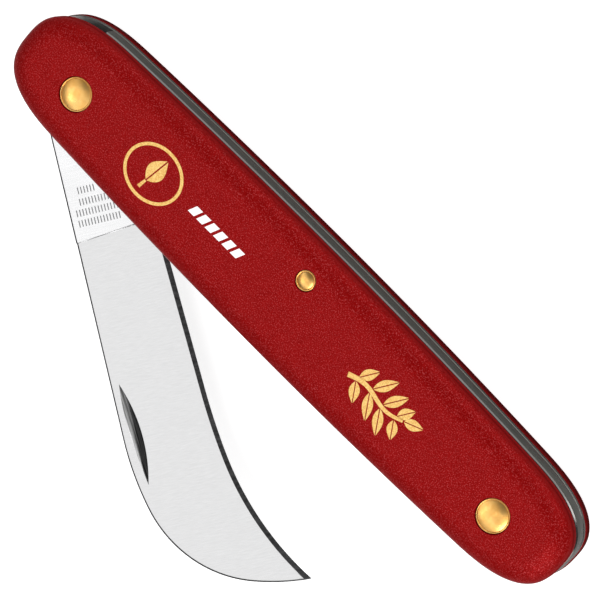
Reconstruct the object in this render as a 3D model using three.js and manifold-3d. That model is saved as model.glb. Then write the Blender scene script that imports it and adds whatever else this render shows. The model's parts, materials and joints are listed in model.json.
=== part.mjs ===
// A folding pruning and grafting knife with a hooked blade on a slip-joint back spring.
// Millimetres, +Z up. The knife lies flat on its back scale with the blade partly open.
// X runs along the handle from the blade pivot (-X) to the butt (+X), +Y is the spring side,
// and the origin is in the rest plane under the middle of the handle.

import * as THREE from 'three';
import { mergeVertices } from 'three/addons/utils/BufferGeometryUtils.js';
import Module from 'manifold-3d';

const wasm = await Module();
wasm.setup();

// Handle outline: two shallow arcs on each long edge, closed by superellipse ends.
const HALF_LENGTH = 49.7;
const HALF_WIDTH = 8.31;
const PIVOT_SIDE_RADIUS = 1080;
const BUTT_SIDE_RADIUS = 840;
const END_START = 37.4;
const END_POWER = 2.77;
const OUTLINE_POINTS = 72;
const SLOPE_STEP = 0.02;

// Layers of the sandwich, from the back scale up to the front scale.
const SCALE_THICKNESS = 3.6;
const LINER_THICKNESS = 0.8;
const CORE_THICKNESS = 2.8;
const LAYER_GAP = 0.05;

// Scale edge: a short upright wall under an elliptical fillet.
const FILLET_INSET = 3.4;
const FILLET_HEIGHT = 2.2;
const FILLET_STEPS = 5;
const LINER_INSET = 0.35;
const SPRING_INSET = 0.1;

// Pins: where each one stands, its shank and the domed brass cap on each of its ends.
const PIVOT = { x: -38.9, y: -0.545, shank: 1.3, cap: 2.33 };
const MIDDLE = { x: 0.66, y: 3.815, shank: 0.8, cap: 1.4 };
const BUTT = { x: 39.21, y: -0.695, shank: 1.3, cap: 2.33 };
const FIT = 0.06;
const RUNNING_FIT = 0.1;
const FLEX_FIT = 0.32;
const SEAT_DEPTH = 1.4;
const CAP_DEPTH = 1.35;
const CAP_TOP_DEPTH = 0.05;
const CAP_RIM_DEPTH = 0.4;
const CAP_RIM_WIDTH = 0.22;
const CAP_BORE_DEPTH = 0.75;
const PIN_END_DEPTH = 0.8;
const DOME_STEPS = 3;
const ROUND_SEGMENTS = 24;

// How far a cutting solid runs past what it cuts.
const CUT_MARGIN = 1;

// Blade, in its own frame: pivot at the origin, straight spine along +X, cutting edge on +Y.
const BLADE_REST_ANGLE = -33.46;
const SPINE_Y = -6.88;
const SPINE_ARC_START = 45.94;
const SPINE_ARCS = [[39.4, 14.44], [17.14, 59.4], [32.1, 14.86]];
const EDGE_START = new THREE.Vector2(9.2, 4.56);
const EDGE_SLOPE = 2.24;
const EDGE_STRAIGHT = 32.63;
const EDGE_ARCS = [[87, 6], [39.2, 29.3]];
const TANG_RADIUS = 4.5;
const TANG_FLAT = 4.25;
const CLOSED_FLAT_TILT = 8;
const STOP_X = 3.95;
const KICK_X = 4.2;
const KICK_FOOT = 0.9;
const CHOIL_DEPTH = 1.3;
const CHOIL_RAMP = 1.2;
const ARC_STEPS = 10;
const TANG_STEPS = 16;
const PLUNGE_X = 18;
const EDGE_HALF_THICKNESS = 0.04;
const BEVEL_WIDTH = 0.65;
const BEVEL_HALF_THICKNESS = 0.26;
const GRIND_RISE = 0.088;
const GRIND_REACH = 16;
const GRIND_STEPS = 28;
const GRIND_RUNOUT = 3;

// Nail nick: a crescent beside the spine, given by its two tips and the bulge of its walls.
const NICK_START = new THREE.Vector2(38.63, -5.61);
const NICK_END = new THREE.Vector2(52.54, -4.8);
const NICK_DEEP_BULGE = 1.12;
const NICK_SHALLOW_BULGE = -0.36;
const NICK_FLOOR = 0.72;
const NICK_STEPS = 12;

// Back spring: a flat over the tang, deep at the middle pin, slim before the butt block.
const SPRING_FRONT_X = -42.45;
const SPRING_CLEARANCE = 0.05;
const SPRING_FLAT_END_X = -34.7;
const SPRING_DEEP_START_X = -4;
const SPRING_DEEP_END_X = 5;
const SPRING_DEEP_Y = 2;
const SPRING_SLIM_START_X = 24;
const SPRING_SLIM_Y = 4.65;
const SPRING_EASE = 0.45;
const BLOCK_X = 34.8;
const BLOCK_FILLET = 1.9;
const BLOCK_TOE = 1.6;
const SPRING_EDGE_STEPS = 36;
const SPRING_CURVE_STEPS = 6;

const MATERIALS = {
  nylon: new THREE.MeshStandardMaterial({ color: 0x981b20, roughness: 0.5, metalness: 0 }),
  liner: new THREE.MeshStandardMaterial({ color: 0xb9bbbd, roughness: 0.4, metalness: 1 }),
  blade: new THREE.MeshStandardMaterial({ color: 0xdcdddf, roughness: 0.22, metalness: 1 }),
  spring: new THREE.MeshStandardMaterial({ color: 0x6f7371, roughness: 0.38, metalness: 1 }),
  brass: new THREE.MeshStandardMaterial({ color: 0xd9b25c, roughness: 0.25, metalness: 1 }),
};

const BACK_LINER_Z = SCALE_THICKNESS + LAYER_GAP;
const CORE_Z = BACK_LINER_Z + LINER_THICKNESS + LAYER_GAP;
const FRONT_LINER_Z = CORE_Z + CORE_THICKNESS + LAYER_GAP;
const FRONT_SCALE_Z = FRONT_LINER_Z + LINER_THICKNESS + LAYER_GAP;
const TOTAL_THICKNESS = FRONT_SCALE_Z + SCALE_THICKNESS;
const MID_Z = TOTAL_THICKNESS / 2;
const HALF_CORE = CORE_THICKNESS / 2;
const PINS = [PIVOT, MIDDLE, BUTT];

// Turns a closed three.js geometry into a solid that can be joined and cut.
function toSolid(geometry) {
  const bare = geometry.clone();
  bare.deleteAttribute('normal');
  bare.deleteAttribute('uv');
  const merged = mergeVertices(bare, 1e-4);
  const vertProperties = new Float32Array(merged.attributes.position.array);
  const triVerts = new Uint32Array(merged.index.array);
  return new wasm.Manifold(new wasm.Mesh({ numProp: 3, vertProperties, triVerts }));
}

function toGeometry(solid) {
  const mesh = solid.getMesh();
  const geometry = new THREE.BufferGeometry();
  geometry.setAttribute('position', new THREE.BufferAttribute(new Float32Array(mesh.vertProperties), 3));
  geometry.setIndex(new THREE.BufferAttribute(new Uint32Array(mesh.triVerts), 1));
  geometry.computeVertexNormals();
  return geometry;
}

// A flat piece of even thickness over an outline.
function plate(points, bottom, thickness) {
  const shape = new THREE.Shape(points);
  const geometry = new THREE.ExtrudeGeometry(shape, { depth: thickness, bevelEnabled: false });
  geometry.translate(0, 0, bottom);
  return toSolid(geometry);
}

function block(low, high) {
  const geometry = new THREE.BoxGeometry(high.x - low.x, high.y - low.y, high.z - low.z);
  geometry.translate((low.x + high.x) / 2, (low.y + high.y) / 2, (low.z + high.z) / 2);
  return toSolid(geometry);
}

// An upright round rod, for shanks and for drilling.
function rod(centre, radius, bottom, top) {
  const geometry = new THREE.CylinderGeometry(radius, radius, top - bottom, ROUND_SEGMENTS);
  geometry.rotateX(Math.PI / 2);
  geometry.translate(centre.x, centre.y, (bottom + top) / 2);
  return toSolid(geometry);
}

function halfWidth(x) {
  const sideRadius = x < 0 ? PIVOT_SIDE_RADIUS : BUTT_SIDE_RADIUS;
  const along = Math.max(0, (Math.abs(x) - END_START) / (HALF_LENGTH - END_START));
  const endFactor = Math.max(0, 1 - along ** END_POWER) ** (1 / END_POWER);
  return (HALF_WIDTH - x * x / (2 * sideRadius)) * endFactor;
}

function outlinePoint(angle) {
  const x = HALF_LENGTH * Math.cos(angle);
  return new THREE.Vector2(x, Math.sign(Math.sin(angle)) * halfWidth(x));
}

// A point of the handle outline moved inward along its normal.
function insetPoint(angle, inset) {
  const ahead = outlinePoint(angle + SLOPE_STEP);
  const tangent = ahead.sub(outlinePoint(angle - SLOPE_STEP)).normalize();
  const point = outlinePoint(angle);
  return new THREE.Vector2(point.x - tangent.y * inset, point.y + tangent.x * inset);
}

function handleOutline(inset) {
  const points = [];
  for (let i = 0; i < OUTLINE_POINTS; i += 1) {
    points.push(insetPoint(2 * Math.PI * i / OUTLINE_POINTS, inset));
  }
  return points;
}

// A scale: rounded over towards its outer face, flat inside, drilled and seated for the caps.
function scale(isFront) {
  const wall = SCALE_THICKNESS - FILLET_HEIGHT;
  const geometry = new THREE.ExtrudeGeometry(new THREE.Shape(handleOutline(0)), {
    depth: 2 * wall,
    bevelEnabled: true,
    bevelThickness: FILLET_HEIGHT,
    bevelSize: FILLET_INSET,
    bevelOffset: -FILLET_INSET,
    bevelSegments: FILLET_STEPS,
  });
  geometry.translate(0, 0, -wall);
  const middleZ = isFront ? FRONT_SCALE_Z : SCALE_THICKNESS;
  geometry.translate(0, 0, middleZ);
  const reach = HALF_LENGTH + CUT_MARGIN;
  const top = TOTAL_THICKNESS + CUT_MARGIN;
  const keepLow = new THREE.Vector3(-reach, -reach, isFront ? FRONT_SCALE_Z : -CUT_MARGIN);
  const keepHigh = new THREE.Vector3(reach, reach, isFront ? top : SCALE_THICKNESS);
  let solid = toSolid(geometry).intersect(block(keepLow, keepHigh));
  for (const pin of PINS) {
    const seatLow = isFront ? TOTAL_THICKNESS - SEAT_DEPTH : -CUT_MARGIN;
    const seatHigh = isFront ? top : SEAT_DEPTH;
    solid = solid.subtract(rod(pin, pin.shank + FIT, -CUT_MARGIN, top));
    solid = solid.subtract(rod(pin, pin.cap + FIT, seatLow, seatHigh));
  }
  return solid;
}

function liner(bottom) {
  let solid = plate(handleOutline(LINER_INSET), bottom, LINER_THICKNESS);
  for (const pin of PINS) {
    solid = solid.subtract(rod(pin, pin.shank + FIT, 0, TOTAL_THICKNESS));
  }
  return solid;
}

function pinShank(pin) {
  return rod(pin, pin.shank, PIN_END_DEPTH, TOTAL_THICKNESS - PIN_END_DEPTH);
}

// A domed cap with a narrow rim, bored from below for the end of its pin.
function cap(pin, isFront) {
  const profile = [new THREE.Vector2(0, -CAP_BORE_DEPTH)];
  profile.push(new THREE.Vector2(pin.shank + FIT, -CAP_BORE_DEPTH));
  profile.push(new THREE.Vector2(pin.shank + FIT, -CAP_DEPTH));
  profile.push(new THREE.Vector2(pin.cap, -CAP_DEPTH));
  profile.push(new THREE.Vector2(pin.cap, -CAP_RIM_DEPTH));
  for (let i = DOME_STEPS; i >= 0; i -= 1) {
    const part = i / DOME_STEPS;
    const drop = (CAP_RIM_DEPTH - CAP_TOP_DEPTH) * part * part;
    profile.push(new THREE.Vector2((pin.cap - CAP_RIM_WIDTH) * part, -CAP_TOP_DEPTH - drop));
  }
  const geometry = new THREE.LatheGeometry(profile, ROUND_SEGMENTS);
  geometry.rotateX(Math.PI / 2);
  if (!isFront) {
    geometry.rotateX(Math.PI);
  }
  geometry.translate(pin.x, pin.y, isFront ? TOTAL_THICKNESS : 0);
  return toSolid(geometry);
}

// A path that goes straight on and then through arcs, each given as [radius, turn in degrees].
function arcPath(start, heading, straight, arcs, stepsPerArc) {
  const points = [start.clone()];
  const direction = new THREE.Vector2(Math.cos(heading), Math.sin(heading));
  const place = start.clone().addScaledVector(direction, straight);
  points.push(place.clone());
  let angle = heading;
  for (const [radius, turn] of arcs) {
    const step = THREE.MathUtils.degToRad(turn) / stepsPerArc;
    const chord = 2 * radius * Math.sin(step / 2);
    for (let i = 0; i < stepsPerArc; i += 1) {
      place.x += chord * Math.cos(angle + step / 2);
      place.y += chord * Math.sin(angle + step / 2);
      angle += step;
      points.push(place.clone());
    }
  }
  return points;
}

function edgePath() {
  return arcPath(EDGE_START, THREE.MathUtils.degToRad(EDGE_SLOPE), EDGE_STRAIGHT, EDGE_ARCS, ARC_STEPS);
}

// The tang: a kick and a flat that meet the spring when closed, a round back, a flat for open.
function tangOutline() {
  const tilt = THREE.MathUtils.degToRad(CLOSED_FLAT_TILT);
  const corner = Math.acos(TANG_FLAT / TANG_RADIUS);
  const kickY = (TANG_FLAT + KICK_X * Math.sin(tilt)) / Math.cos(tilt);
  const points = [
    new THREE.Vector2(EDGE_START.x - CHOIL_RAMP, EDGE_START.y - CHOIL_DEPTH),
    new THREE.Vector2(KICK_X + KICK_FOOT, EDGE_START.y - CHOIL_DEPTH),
    new THREE.Vector2(KICK_X, kickY),
  ];
  const from = Math.PI / 2 + tilt + corner;
  const to = 3 * Math.PI / 2 - corner;
  for (let i = 0; i <= TANG_STEPS; i += 1) {
    const angle = from + (to - from) * i / TANG_STEPS;
    points.push(new THREE.Vector2(TANG_RADIUS * Math.cos(angle), TANG_RADIUS * Math.sin(angle)));
  }
  points.push(new THREE.Vector2(STOP_X, -TANG_FLAT));
  return points;
}

function bladeOutline() {
  const spineStart = new THREE.Vector2(STOP_X, SPINE_Y);
  const spine = arcPath(spineStart, 0, SPINE_ARC_START - STOP_X, SPINE_ARCS, ARC_STEPS);
  const edge = edgePath().reverse();
  return [...spine, ...edge.slice(1), ...tangOutline()];
}

// What the grinder takes off one face: it follows the cutting edge from the plunge line on.
function grindCutter() {
  const edge = edgePath();
  const tip = edge[edge.length - 1];
  const beforeTip = edge[edge.length - 2];
  const onward = tip.clone().sub(beforeTip).normalize().multiplyScalar(GRIND_RUNOUT).add(tip);
  const startY = EDGE_START.y + (PLUNGE_X - EDGE_START.x) * Math.tan(THREE.MathUtils.degToRad(EDGE_SLOPE));
  const route = [new THREE.Vector2(PLUNGE_X, startY), ...edge.slice(1), onward];
  const curve = new THREE.CatmullRomCurve3(route.map((p) => new THREE.Vector3(p.x, p.y, 0)));
  const farHalf = BEVEL_HALF_THICKNESS + (GRIND_REACH - BEVEL_WIDTH) * GRIND_RISE;
  const section = new THREE.Shape([
    new THREE.Vector2(-EDGE_HALF_THICKNESS, CUT_MARGIN),
    new THREE.Vector2(-EDGE_HALF_THICKNESS, 0),
    new THREE.Vector2(-BEVEL_HALF_THICKNESS, -BEVEL_WIDTH),
    new THREE.Vector2(-farHalf, -GRIND_REACH),
    new THREE.Vector2(-HALF_CORE - CUT_MARGIN, -GRIND_REACH),
    new THREE.Vector2(-HALF_CORE - CUT_MARGIN, CUT_MARGIN),
  ]);
  return new THREE.ExtrudeGeometry(section, { steps: GRIND_STEPS, extrudePath: curve });
}

function nickOutline() {
  const along = NICK_END.clone().sub(NICK_START);
  const across = new THREE.Vector2(-along.y, along.x).normalize();
  const wall = (bulge, part) => {
    const swell = 4 * part * (1 - part) * bulge;
    return NICK_START.clone().addScaledVector(along, part).addScaledVector(across, swell);
  };
  const points = [];
  for (let i = 0; i < NICK_STEPS; i += 1) {
    points.push(wall(NICK_SHALLOW_BULGE, i / NICK_STEPS));
  }
  for (let i = NICK_STEPS; i > 0; i -= 1) {
    points.push(wall(NICK_DEEP_BULGE, i / NICK_STEPS));
  }
  return points;
}

function blade() {
  const cutter = grindCutter();
  const frontCutter = toSolid(cutter);
  const backCutter = toSolid(mirrored(cutter));
  let solid = plate(bladeOutline(), -HALF_CORE, CORE_THICKNESS);
  solid = solid.subtract(frontCutter).subtract(backCutter);
  solid = solid.subtract(plate(nickOutline(), NICK_FLOOR, HALF_CORE));
  const bore = rod({ x: 0, y: 0 }, PIVOT.shank + RUNNING_FIT, -CORE_THICKNESS, CORE_THICKNESS);
  return solid.subtract(bore);
}

// The same geometry reflected in the plane z = 0, with its faces still pointing out.
function mirrored(geometry) {
  const copy = geometry.clone();
  copy.scale(1, 1, -1);
  const position = copy.attributes.position;
  for (let i = 0; i < position.count; i += 3) {
    const first = new THREE.Vector3().fromBufferAttribute(position, i);
    const third = new THREE.Vector3().fromBufferAttribute(position, i + 2);
    position.setXYZ(i, third.x, third.y, third.z);
    position.setXYZ(i + 2, first.x, first.y, first.z);
  }
  return copy;
}

// The spring follows the handle outline from its front end right round the butt.
function backSpring() {
  const contactY = PIVOT.y + TANG_RADIUS + SPRING_CLEARANCE;
  const frontAngle = Math.acos(SPRING_FRONT_X / HALF_LENGTH);
  const blockAngle = -Math.acos((BLOCK_X + BLOCK_TOE) / HALF_LENGTH);
  const toDeep = SPRING_EASE * (SPRING_DEEP_START_X - SPRING_FLAT_END_X);
  const toSlim = SPRING_EASE * (SPRING_SLIM_START_X - SPRING_DEEP_END_X);
  const shape = new THREE.Shape();
  shape.moveTo(SPRING_FRONT_X, contactY);
  shape.lineTo(SPRING_FLAT_END_X, contactY);
  shape.bezierCurveTo(
    SPRING_FLAT_END_X + toDeep, contactY,
    SPRING_DEEP_START_X - toDeep, SPRING_DEEP_Y,
    SPRING_DEEP_START_X, SPRING_DEEP_Y,
  );
  shape.lineTo(SPRING_DEEP_END_X, SPRING_DEEP_Y);
  shape.bezierCurveTo(
    SPRING_DEEP_END_X + toSlim, SPRING_DEEP_Y,
    SPRING_SLIM_START_X - toSlim, SPRING_SLIM_Y,
    SPRING_SLIM_START_X, SPRING_SLIM_Y,
  );
  shape.lineTo(BLOCK_X - BLOCK_FILLET, SPRING_SLIM_Y);
  const fillet = [BLOCK_X - BLOCK_FILLET, SPRING_SLIM_Y - BLOCK_FILLET, BLOCK_FILLET];
  shape.absarc(...fillet, Math.PI / 2, 0, true);
  for (let i = 0; i <= SPRING_EDGE_STEPS; i += 1) {
    const angle = blockAngle + (frontAngle - blockAngle) * i / SPRING_EDGE_STEPS;
    const point = insetPoint(angle, SPRING_INSET);
    shape.lineTo(point.x, point.y);
  }
  const options = { depth: CORE_THICKNESS, bevelEnabled: false, curveSegments: SPRING_CURVE_STEPS };
  const geometry = new THREE.ExtrudeGeometry(shape, options);
  geometry.translate(0, 0, CORE_Z);
  const solid = toSolid(geometry);
  const drilled = solid.subtract(rod(BUTT, BUTT.shank + RUNNING_FIT, 0, TOTAL_THICKNESS));
  return drilled.subtract(rod(MIDDLE, MIDDLE.shank + FLEX_FIT, 0, TOTAL_THICKNESS));
}

function named(name, solid, material) {
  const mesh = new THREE.Mesh(toGeometry(solid), material);
  mesh.name = name;
  return mesh;
}

const knife = new THREE.Group();
knife.add(named('back_scale', scale(false), MATERIALS.nylon));
knife.add(named('back_liner', liner(BACK_LINER_Z), MATERIALS.liner));
knife.add(named('back_spring', backSpring(), MATERIALS.spring));
knife.add(named('front_liner', liner(FRONT_LINER_Z), MATERIALS.liner));
knife.add(named('front_scale', scale(true), MATERIALS.nylon));

const pinNames = ['pivot', 'middle', 'butt'];
PINS.forEach((pin, index) => {
  knife.add(named(`${pinNames[index]}_pin`, pinShank(pin), MATERIALS.brass));
  knife.add(named(`${pinNames[index]}_cap_front`, cap(pin, true), MATERIALS.brass));
  knife.add(named(`${pinNames[index]}_cap_back`, cap(pin, false), MATERIALS.brass));
});

const turningBlade = new THREE.Group();
turningBlade.position.set(PIVOT.x, PIVOT.y, MID_Z);
turningBlade.rotation.z = THREE.MathUtils.degToRad(BLADE_REST_ANGLE);
turningBlade.add(named('blade', blade(), MATERIALS.blade));
knife.add(turningBlade);

export default knife;
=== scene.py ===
"""Visual model of the folding garden knife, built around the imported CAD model.

Every length is in metres. The frame is the CAD frame: +X along the handle from the blade pivot to
the butt, +Y towards the back spring, +Z up from the back scale that the knife lies on.
"""

import json
import math

import bmesh
import bpy
from mathutils import Matrix, Vector


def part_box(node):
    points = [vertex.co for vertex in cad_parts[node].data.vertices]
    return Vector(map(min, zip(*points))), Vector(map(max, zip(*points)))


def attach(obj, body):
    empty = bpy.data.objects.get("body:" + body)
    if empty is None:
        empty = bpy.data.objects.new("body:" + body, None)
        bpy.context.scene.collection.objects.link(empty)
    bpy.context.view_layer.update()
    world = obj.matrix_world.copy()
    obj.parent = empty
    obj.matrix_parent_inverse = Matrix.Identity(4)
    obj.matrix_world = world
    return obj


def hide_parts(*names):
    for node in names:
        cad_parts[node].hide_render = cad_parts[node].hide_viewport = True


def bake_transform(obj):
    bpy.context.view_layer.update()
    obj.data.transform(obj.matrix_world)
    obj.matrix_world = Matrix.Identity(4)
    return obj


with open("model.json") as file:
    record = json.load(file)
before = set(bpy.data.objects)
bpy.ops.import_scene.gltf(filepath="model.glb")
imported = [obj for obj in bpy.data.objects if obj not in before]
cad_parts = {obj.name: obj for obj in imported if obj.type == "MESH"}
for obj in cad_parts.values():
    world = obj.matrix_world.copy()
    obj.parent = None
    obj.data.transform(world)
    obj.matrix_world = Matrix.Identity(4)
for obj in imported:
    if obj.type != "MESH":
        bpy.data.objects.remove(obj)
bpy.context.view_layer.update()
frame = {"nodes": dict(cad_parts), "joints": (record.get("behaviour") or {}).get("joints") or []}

MM = 0.001

# Levels, places and angles that come from the frame.
JOINTS = {joint["name"]: joint for joint in frame["joints"]}
PIVOT = Vector(JOINTS["blade_pivot"]["pos_m"])
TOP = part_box("front_scale")[1].z
MID = TOP / 2
HALF_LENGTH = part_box("front_scale")[1].x
HALF_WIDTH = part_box("front_scale")[1].y

# Handle outline: shallow arcs along the sides, superellipse ends.
PIVOT_SIDE_RADIUS = 1080 * MM
BUTT_SIDE_RADIUS = 840 * MM
END_START = 37.4 * MM
END_POWER = 2.77
OUTLINE_POINTS = 360
TANGENT_STEP = 0.004

# Rivets: the radius of each cap, and the gap round pins and caps.
RIVETS = {"pivot": 2.33 * MM, "middle": 1.4 * MM, "butt": 2.33 * MM}
CLEARANCE = 0.06 * MM

# Edges sharper than this many degrees stay crisp.
CREASE = 28
CAP_CREASE = 40
BLADE_CREASE = 9

# How far a face's normal points up or down: more than the first on a flat face, less than the second
# on a side, and between them on a chamfer.
FLAT_NORMAL = 0.97
STEEP_NORMAL = 0.2

# Blade, in its own frame: pivot at the origin, straight spine along +X, cutting edge on +Y.
# Arcs are given as (radius, turn in degrees).
BLADE_REST_ANGLE = math.radians(-33.46)
SPINE_Y = -6.88 * MM
STOP_X = 3.95 * MM
SPINE_ARC_START = 45.93 * MM
SPINE_ARCS = ((39.4 * MM, 14.44), (17.14 * MM, 59.4), (32.1 * MM, 14.86))
EDGE_START = Vector((9.2 * MM, 4.56 * MM))
EDGE_SLOPE = math.radians(2.24)
EDGE_STRAIGHT = 32.62 * MM
EDGE_ARCS = ((87 * MM, 6.0), (39.2 * MM, 29.3))
TANG_RADIUS = 4.5 * MM
TANG_FLAT = 4.25 * MM
CLOSED_FLAT_TILT = math.radians(8)
KICK_X = 4.2 * MM
CHOIL_DEPTH = 1.3 * MM
BLADE_HALF = 1.4 * MM
BLADE_TURN = Matrix.Rotation(BLADE_REST_ANGLE, 4, "Z")
BLADE_PLACE = Matrix.Translation((PIVOT.x, PIVOT.y, MID)) @ BLADE_TURN
NICK_START = Vector((38.63 * MM, -5.61 * MM))
NICK_END = Vector((52.54 * MM, -4.8 * MM))
NICK_TILT = math.atan2(NICK_END.y - NICK_START.y, NICK_END.x - NICK_START.x)
NICK_DEEP_BULGE = 1.12 * MM
NICK_SHALLOW_BULGE = 0.5 * MM
NICK_DEPTH = 0.55 * MM
NICK_SHADE_START = 0.42 * MM
NICK_SHADE_DRIFT = 0.041
NICK_SHADE_FADE = 0.3 * MM


# Vertices nearer than this are one, and the least that a sharp corner's offset is divided by.
WELD = 1e-8
SHARPEST_CORNER = 0.5


def mesh_piece(name, verts, faces, material):
    """A new mesh object in the scene, with its faces turned outward."""
    mesh = bpy.data.meshes.new(name)
    mesh.from_pydata([tuple(v) for v in verts], [], faces)
    tidy = bmesh.new()
    tidy.from_mesh(mesh)
    bmesh.ops.remove_doubles(tidy, verts=tidy.verts, dist=WELD)
    bmesh.ops.recalc_face_normals(tidy, faces=tidy.faces)
    tidy.to_mesh(mesh)
    tidy.free()
    piece = bpy.data.objects.new(name, mesh)
    bpy.context.scene.collection.objects.link(piece)
    if material is not None:
        mesh.materials.append(material)
    return piece


def smooth(piece, degrees):
    """Smooth shading, with edges sharper than the angle kept crisp."""
    shaper = bmesh.new()
    shaper.from_mesh(piece.data)
    limit = math.radians(degrees)
    for face in shaper.faces:
        face.smooth = True
    for edge in shaper.edges:
        edge.smooth = len(edge.link_faces) == 2 and edge.calc_face_angle(0.0) < limit
    shaper.to_mesh(piece.data)
    shaper.free()


def boolean(piece, other, operation, materials="INDEX"):
    """Joins or cuts piece with other, and deletes other."""
    change = piece.modifiers.new("boolean", "BOOLEAN")
    change.operation = operation
    change.solver = "EXACT"
    change.material_mode = materials
    change.object = other
    bpy.context.view_layer.update()
    graph = bpy.context.evaluated_depsgraph_get()
    result = bpy.data.meshes.new_from_object(piece.evaluated_get(graph))
    piece.modifiers.clear()
    old = piece.data
    piece.data = result
    result.name = old.name
    bpy.data.meshes.remove(old)
    bpy.data.objects.remove(other)


def skin(loops, first=0, is_ring=False):
    """Faces of a closed body through loops of equal length, whose vertices are numbered from first."""
    count = len(loops[0])
    levels = len(loops)
    faces = []
    for level in range(levels if is_ring else levels - 1):
        low = first + level * count
        high = first + (level + 1) % levels * count
        for i in range(count):
            j = (i + 1) % count
            faces.append((low + i, low + j, high + j, high + i))
    if not is_ring:
        last = first + (levels - 1) * count
        faces.append(tuple(reversed(range(first, first + count))))
        faces.append(tuple(range(last, last + count)))
    return faces


def stacked(name, loops, material):
    """A closed body through loops of points that all have the same number of points."""
    verts = [point for loop in loops for point in loop]
    return mesh_piece(name, verts, skin(loops), material)


def offset_loop(points, distance):
    """A closed counter-clockwise loop of 2-D points moved inward by distance."""
    moved = []
    count = len(points)
    for i, point in enumerate(points):
        before = (point - points[i - 1]).normalized()
        after = (points[(i + 1) % count] - point).normalized()
        inward = Vector((-before.y - after.y, before.x + after.x)).normalized()
        stretch = max(SHARPEST_CORNER, inward.dot(Vector((-before.y, before.x))))
        moved.append(point + inward * (distance / stretch))
    return moved


def lift(points, z):
    """Points of a 2-D loop set at one height."""
    return [Vector((p.x, p.y, z)) for p in points]


# The small round where a chamfer meets the side, as shares of the chamfer's inset and drop.
KNEE_INSET = 0.12
KNEE_DROP = 1.6


def chamfered_plate(name, outline, low, high, inset, drop, material):
    """A flat plate between two levels, with a chamfer along both rims that ends in a small round."""
    inner = offset_loop(outline, inset)
    knee = offset_loop(outline, inset * KNEE_INSET)
    loops = [
        lift(inner, low),
        lift(knee, low + drop),
        lift(outline, low + drop * KNEE_DROP),
        lift(outline, high - drop * KNEE_DROP),
        lift(knee, high - drop),
        lift(inner, high),
    ]
    return stacked(name, loops, material)


def lathe(name, profile, centre, material, steps=96):
    """A round body from (radius, height) pairs that start and end on the axis."""
    verts = [centre + Vector((0, 0, profile[0][1]))]
    for radius, height in profile[1:-1]:
        for i in range(steps):
            turn = 2 * math.pi * i / steps
            verts.append(centre + Vector((radius * math.cos(turn), radius * math.sin(turn), height)))
    verts.append(centre + Vector((0, 0, profile[-1][1])))
    last = len(verts) - 1
    rings = len(profile) - 2
    faces = []
    for i in range(steps):
        j = (i + 1) % steps
        faces.append((0, 1 + i, 1 + j))
        for ring in range(rings - 1):
            a = 1 + ring * steps
            b = a + steps
            faces.append((a + i, b + i, b + j, a + j))
        end = 1 + (rings - 1) * steps
        faces.append((end + i, last, end + j))
    return mesh_piece(name, verts, faces, material)


def drill(piece, holes):
    """Cuts round upright holes, each given as (centre, profile), in one go."""
    cutters = []
    for centre, profile in holes:
        cutters.append(lathe("cutter", profile, Vector((centre.x, centre.y, 0)), None))
    joined = bmesh.new()
    for cutter in cutters:
        joined.from_mesh(cutter.data)
    joined.to_mesh(cutters[0].data)
    joined.free()
    for cutter in cutters[1:]:
        bpy.data.objects.remove(cutter)
    boolean(piece, cutters[0], "DIFFERENCE")


def straight_hole(radius, low, high):
    """The profile of a plain hole between two levels."""
    return [(0.0, low), (radius, low), (radius, high), (0.0, high)]


def shank(rivet):
    """The centre of a rivet pin and its radius."""
    low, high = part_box(f"{rivet}_pin")
    return (low + high) / 2, (high.x - low.x) / 2


# -------------------- materials

# The span that noise mostly keeps to.
NOISE_LOW = 0.3
NOISE_HIGH = 0.7
GRAIN_SCALE = 5200
SCRATCH_DEPTH = 0.01 * MM

# Nylon. A ramp is (from, to, value at from, value at to): on noise for the flecks, and on how far a
# face looks up or down for the grain and the walls.
NYLON_BASE = ((0.24, 0.0003, 0.0003), (0.285, 0.0015, 0.0015))
NYLON_GRAIN = (0.36, 0.005, 0.005)
NYLON_FLECK = (0.64, 0.075, 0.08)
NYLON_PATCH_SCALE = 900
NYLON_FLECK_SCALE = 6200
NYLON_METALLIC = 0.2
NYLON_SPECULAR = 0.1
NYLON_TINT = (1.0, 0.5, 0.52, 1)
NYLON_ROUGHNESS = (0.24, 0.38)
NYLON_RELIEF = 0.06 * MM
FLECKS_SHOWN = (0.52, 0.72, 0, 0.55)
GRAIN_ON_TOP = (0.3, 0.8, 0.15, 1)
ROUGH_ON_WALL = (0.1, 0.6, 0.85, 0)
# Painted shade on the steep walls: full where a face looks up no more than this, fading out above it.
WALL_SHADE_START = 0.02

# Lines of a metal, as (stretch along X, Y and Z, scale).
ALONG = ((50, 1, 1), 9000)
ACROSS = ((1, 50, 1), 9000)
ROLLED = ((50, 1, 1), 7000)
COARSE = ((1, 6, 1), 2600)
NICK_LINES = ((24, 1, 1), 2600)
STEEL_CLOUD_SCALE = 260
STEEL_GLOSS = (0.85, 1.2)

# Nail nick: painted lit and shaded colours, each between the lines and on them.
NICK_LIT_COLOURS = ((0.8, 0.8, 0.8), (0.22, 0.22, 0.22))
NICK_SHADED_COLOURS = ((0.12, 0.12, 0.12), (0.002, 0.002, 0.002))
NICK_STREAKS = (0.42, 0.58, 0, 1)
NICK_ROUGHNESS = (0.25, 0.4)

BRASS_COLOURS = ((0.93, 0.57, 0.19), (0.84, 0.44, 0.11))
BRASS_ROUGHNESS = (0.26, 0.36)
BRASS_ANISOTROPY = 0.55
BRASS_CLOUD_SCALE = 900
BRASS_MARK_SCALE = 5000

INK_WEAR = (0.38, 0.62, 0, 1)
INK_ROUGHNESS = (0.35, 0.55)
INK_RELIEF = 0.02 * MM

PAPER = ((0.58, 0.58, 0.58), (0.62, 0.62, 0.62))
PAPER_GLOW = 0.84


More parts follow.
